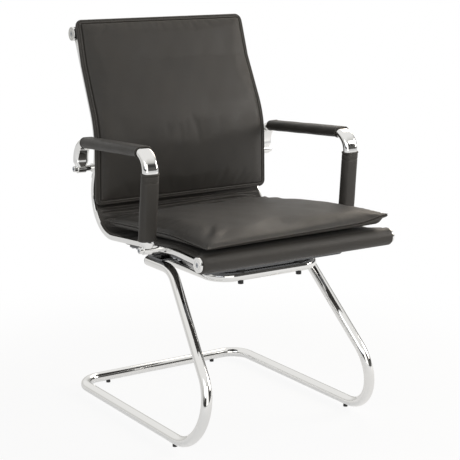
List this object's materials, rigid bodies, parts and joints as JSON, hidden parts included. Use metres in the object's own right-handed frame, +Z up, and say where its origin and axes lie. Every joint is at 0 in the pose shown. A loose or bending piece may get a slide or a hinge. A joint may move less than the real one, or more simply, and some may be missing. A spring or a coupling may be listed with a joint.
{
  "type": "upholstered sled-base visitor armchair",
  "caption": "Sled-base visitor armchair: bent chrome tube frame, chrome side rails, black leather sling with loose seat and back pads, chrome arms with leather sleeves",
  "frame": {"origin": "on the floor, under the middle of the chair's overall box", "axes": "+Z up, the chair's front faces -Y, +X is the sitter's left and X = 0 is the plane of symmetry"},
  "size_m": [0.5998, 0.6485, 0.9351],
  "materials": {
    "chrome": "bright chrome plate on steel",
    "leather": "satin, dark warm grey-black",
    "plastic": "moulded, matt black",
    "rubber": "matt black rubber",
    "zinc_steel": "bright zinc plate",
    "plated_steel": "bright-plated steel strip",
    "bar": "plain drawn bar, hidden"
  },
  "bodies": {
    "root": {"arm_bolts": "zinc_steel", "arm_front_sleeve_left": "leather", "arm_front_sleeve_right": "leather", "arm_top_sleeve_left": "leather", "arm_top_sleeve_right": "leather", "arm_tube_left": "chrome", "arm_tube_right": "chrome", "back_pad": "leather", "back_sling": "leather", "back_stretcher": "plated_steel", "back_stretcher_screws": "zinc_steel", "base_bolts": "zinc_steel", "bolt_caps": "plastic", "end_cap_screws": "zinc_steel", "floor_glides": "plastic", "front_arm_boss_left": "chrome", "front_arm_boss_right": "chrome", "front_end_cap_left": "chrome", "front_end_cap_right": "chrome", "front_roll_bar": "bar", "front_seat_stretcher": "plated_steel", "mount_pads": "rubber", "mount_plate_left": "plated_steel", "mount_plate_right": "plated_steel", "rear_arm_boss_left": "chrome", "rear_arm_boss_right": "chrome", "rear_seat_stretcher": "plated_steel", "seat_pad": "leather", "seat_sling": "leather", "side_rail_left": "chrome", "side_rail_right": "chrome", "sled_frame": "chrome", "stretcher_screws": "zinc_steel", "support_tube": "chrome", "top_end_cap_left": "chrome", "top_end_cap_right": "chrome", "top_roll_bar": "bar", "tube_end_plugs": "plastic"}
  },
  "joints": []
}
